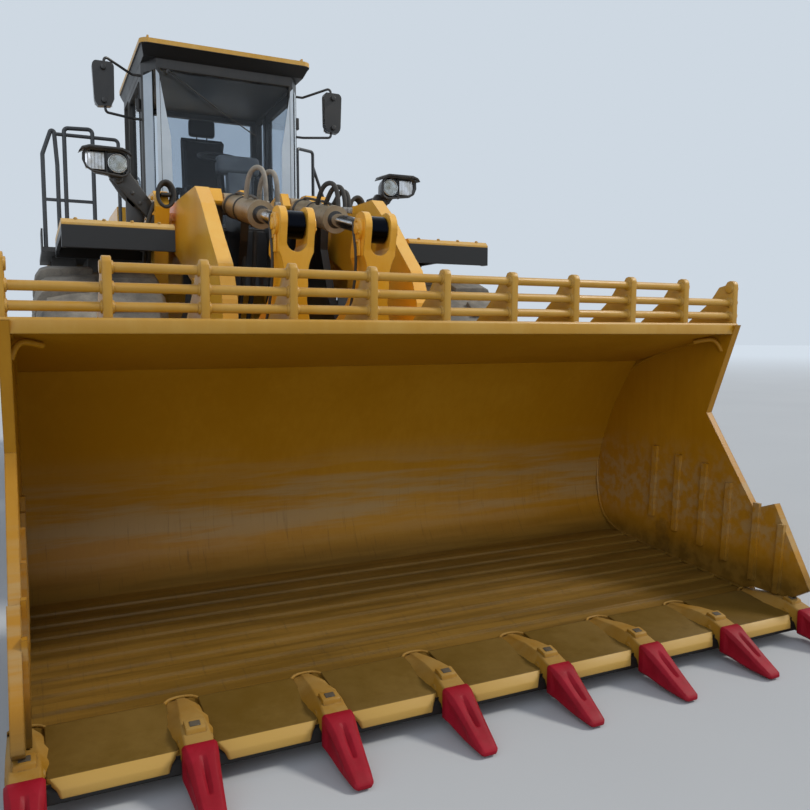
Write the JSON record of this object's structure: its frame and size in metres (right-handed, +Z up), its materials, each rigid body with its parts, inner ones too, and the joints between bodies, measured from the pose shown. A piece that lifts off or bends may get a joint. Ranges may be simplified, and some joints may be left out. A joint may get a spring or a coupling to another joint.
{
  "type": "wheel loader",
  "caption": "Articulated wheel loader with a toothed rock bucket, twin bell cranks, hydraulic cylinders, glazed cab and tilting engine hood.",
  "frame": {"origin": "on the ground under the middle of the machine's length and width", "axes": "+X to the machine's left, +Y to its rear, +Z up"},
  "size_m": [3.545, 9.45, 3.978],
  "materials": {
    "yellow_paint": "semi-gloss yellow paint",
    "worn_paint": "worn yellow paint",
    "red_paint": "red paint on cast steel",
    "dark_paint": "satin charcoal paint",
    "rod_chrome": "polished",
    "barrel_paint": "black paint",
    "window_glass": "clear, lightly tinted",
    "cab_plastic": "matte",
    "seat_fabric": "woven",
    "tyre_rubber": "matte rubber",
    "rim_paint": "semi-gloss paint"
  },
  "bodies": {
    "rear_body": {"rear_frame": "yellow_paint", "counterweight": "dark_paint", "rear_axle": "yellow_paint", "engine_block": "dark_paint", "rear_fenders": "yellow_paint", "platforms": "dark_paint", "ladders": "dark_paint", "cab_shell": "dark_paint", "cab_roof": "yellow_paint", "cab_glass": "window_glass", "cab_console": "cab_plastic", "seat": "seat_fabric", "steering_column": "cab_plastic", "mirrors": "cab_plastic", "handrails": "dark_paint"},
    "front_body": {"front_frame": "yellow_paint", "front_axle": "yellow_paint", "front_fenders": "yellow_paint", "headlamps": "dark_paint"},
    "lift_arm": {"lift_arms": "yellow_paint"},
    "bell_crank_pair": {"bell_cranks": "yellow_paint"},
    "link_pair": {"bucket_links": "yellow_paint"},
    "bucket": {"bucket_shell": "worn_paint", "bucket_teeth": "red_paint", "tooth_adapters": "worn_paint", "spill_guard": "worn_paint"},
    "lift_barrel_pair": {"lift_barrels": "barrel_paint"},
    "lift_rod_pair": {"lift_rods": "rod_chrome"},
    "tilt_barrel_pair": {"tilt_barrels": "barrel_paint"},
    "tilt_rod_pair": {"tilt_rods": "rod_chrome"},
    "steer_barrel_l": {"steer_barrel_left": "barrel_paint"},
    "steer_rod_l": {"steer_rod_left": "rod_chrome"},
    "steer_barrel_r": {"steer_barrel_right": "barrel_paint"},
    "steer_rod_r": {"steer_rod_right": "rod_chrome"},
    "door_l": {"door_left": "dark_paint", "door_glass_left": "window_glass"},
    "door_r": {"door_right": "dark_paint", "door_glass_right": "window_glass"},
    "hood": {"engine_hood": "yellow_paint", "exhaust": "dark_paint"},
    "wheel_front_left": {"tyre_front_left": "tyre_rubber", "rim_front_left": "rim_paint"},
    "wheel_front_right": {"tyre_front_right": "tyre_rubber", "rim_front_right": "rim_paint"},
    "wheel_rear_left": {"tyre_rear_left": "tyre_rubber", "rim_rear_left": "rim_paint"},
    "wheel_rear_right": {"tyre_rear_right": "tyre_rubber", "rim_rear_right": "rim_paint"}
  },
  "joints": [
    {"name": "articulation", "type": "hinge", "parent": "rear_body", "child": "front_body", "pos_m": [0, 0.555, 1], "axis": [0, 0, 1], "range_deg": [-38, 38]},
    {"name": "lift", "type": "hinge", "parent": "front_body", "child": "lift_arm", "pos_m": [0, -0.825, 2.28], "axis": [-1, 0, 0], "range_deg": [-3, 84]},
    {"name": "bucket_tilt", "type": "hinge", "parent": "lift_arm", "child": "bucket", "pos_m": [0, -2.775, 0.46], "axis": [1, 0, 0], "range_deg": [-36, 120]},
    {"name": "bell_crank_swing", "type": "hinge", "parent": "lift_arm", "child": "bell_crank_pair", "pos_m": [0, -2.265, 1.45], "axis": [1, 0, 0], "range_deg": [-39.7, 12]},
    {"name": "link_swing", "type": "hinge", "parent": "bucket", "child": "link_pair", "pos_m": [0, -2.845, 0.9], "axis": [1, 0, 0], "range_deg": [-60.1, 18.1]},
    {"name": "tilt_barrel_swing", "type": "hinge", "parent": "front_body", "child": "tilt_barrel_pair", "pos_m": [0, -0.985, 2.47], "axis": [-1, 0, 0], "range_deg": [-3.6, 96]},
    {"name": "tilt_rod_slide", "type": "slide", "parent": "tilt_barrel_pair", "child": "tilt_rod_pair", "axis": [0, -0.9763, -0.2163], "range_m": [-0.556, 0.167]},
    {"name": "lift_barrel_swing", "type": "hinge", "parent": "front_body", "child": "lift_barrel_pair", "pos_m": [0, -0.525, 0.9], "axis": [-1, 0, 0], "range_deg": [-1.4, 36.3]},
    {"name": "lift_rod_slide", "type": "slide", "parent": "lift_barrel_pair", "child": "lift_rod_pair", "axis": [0, -0.8774, 0.4798], "range_m": [-0.04, 1.072]},
    {"name": "steer_barrel_swing_l", "type": "hinge", "parent": "rear_body", "child": "steer_barrel_l", "pos_m": [0.33, 1.375, 1], "axis": [0, 0, 1], "range_deg": [-17.2, 17.2]},
    {"name": "steer_rod_slide_l", "type": "slide", "parent": "steer_barrel_l", "child": "steer_rod_l", "axis": [0.168, -0.9858, 0], "range_m": [-0.305, 0.305]},
    {"name": "steer_barrel_swing_r", "type": "hinge", "parent": "rear_body", "child": "steer_barrel_r", "pos_m": [-0.33, 1.375, 1], "axis": [0, 0, 1], "range_deg": [-17.2, 17.2]},
    {"name": "steer_rod_slide_r", "type": "slide", "parent": "steer_barrel_r", "child": "steer_rod_r", "axis": [-0.168, -0.9858, 0], "range_m": [-0.305, 0.305]},
    {"name": "door_left_swing", "type": "hinge", "parent": "rear_body", "child": "door_l", "pos_m": [0.722, 0.371, 2.9], "axis": [0, 0, -1], "range_deg": [0, 75]},
    {"name": "door_right_swing", "type": "hinge", "parent": "rear_body", "child": "door_r", "pos_m": [-0.722, 0.371, 2.9], "axis": [0, 0, 1], "range_deg": [0, 75]},
    {"name": "hood_tilt", "type": "hinge", "parent": "rear_body", "child": "hood", "pos_m": [0, 4.59, 1.625], "axis": [-1, 0, 0], "range_deg": [0, 60]},
    {"name": "front_left_wheel_turn", "type": "hinge", "parent": "front_body", "child": "wheel_front_left", "pos_m": [1.24, -1.345, 0.968], "axis": [1, 0, 0], "continuous": true},
    {"name": "front_right_wheel_turn", "type": "hinge", "parent": "front_body", "child": "wheel_front_right", "pos_m": [-1.24, -1.345, 0.968], "axis": [1, 0, 0], "continuous": true},
    {"name": "rear_left_wheel_turn", "type": "hinge", "parent": "rear_body", "child": "wheel_rear_left", "pos_m": [1.24, 2.455, 0.968], "axis": [1, 0, 0], "continuous": true},
    {"name": "rear_right_wheel_turn", "type": "hinge", "parent": "rear_body", "child": "wheel_rear_right", "pos_m": [-1.24, 2.455, 0.968], "axis": [1, 0, 0], "continuous": true}
  ],
  "couplings": [
    {"joint": "bell_crank_swing", "follows": "bucket_tilt", "ratio": -0.33},
    {"joint": "link_swing", "follows": "bucket_tilt", "ratio": -0.5},
    {"joint": "tilt_barrel_swing", "follows": "lift", "ratio": 1.139},
    {"joint": "tilt_rod_slide", "follows": "bucket_tilt", "m_per_rad": -0.265},
    {"joint": "lift_barrel_swing", "follows": "lift", "ratio": 0.429},
    {"joint": "lift_rod_slide", "follows": "lift", "m_per_rad": 0.7278},
    {"joint": "steer_barrel_swing_l", "follows": "articulation", "ratio": 0.445},
    {"joint": "steer_rod_slide_l", "follows": "articulation", "m_per_rad": -0.4554},
    {"joint": "steer_barrel_swing_r", "follows": "articulation", "ratio": 0.445},
    {"joint": "steer_rod_slide_r", "follows": "articulation", "m_per_rad": 0.4554}
  ]
}
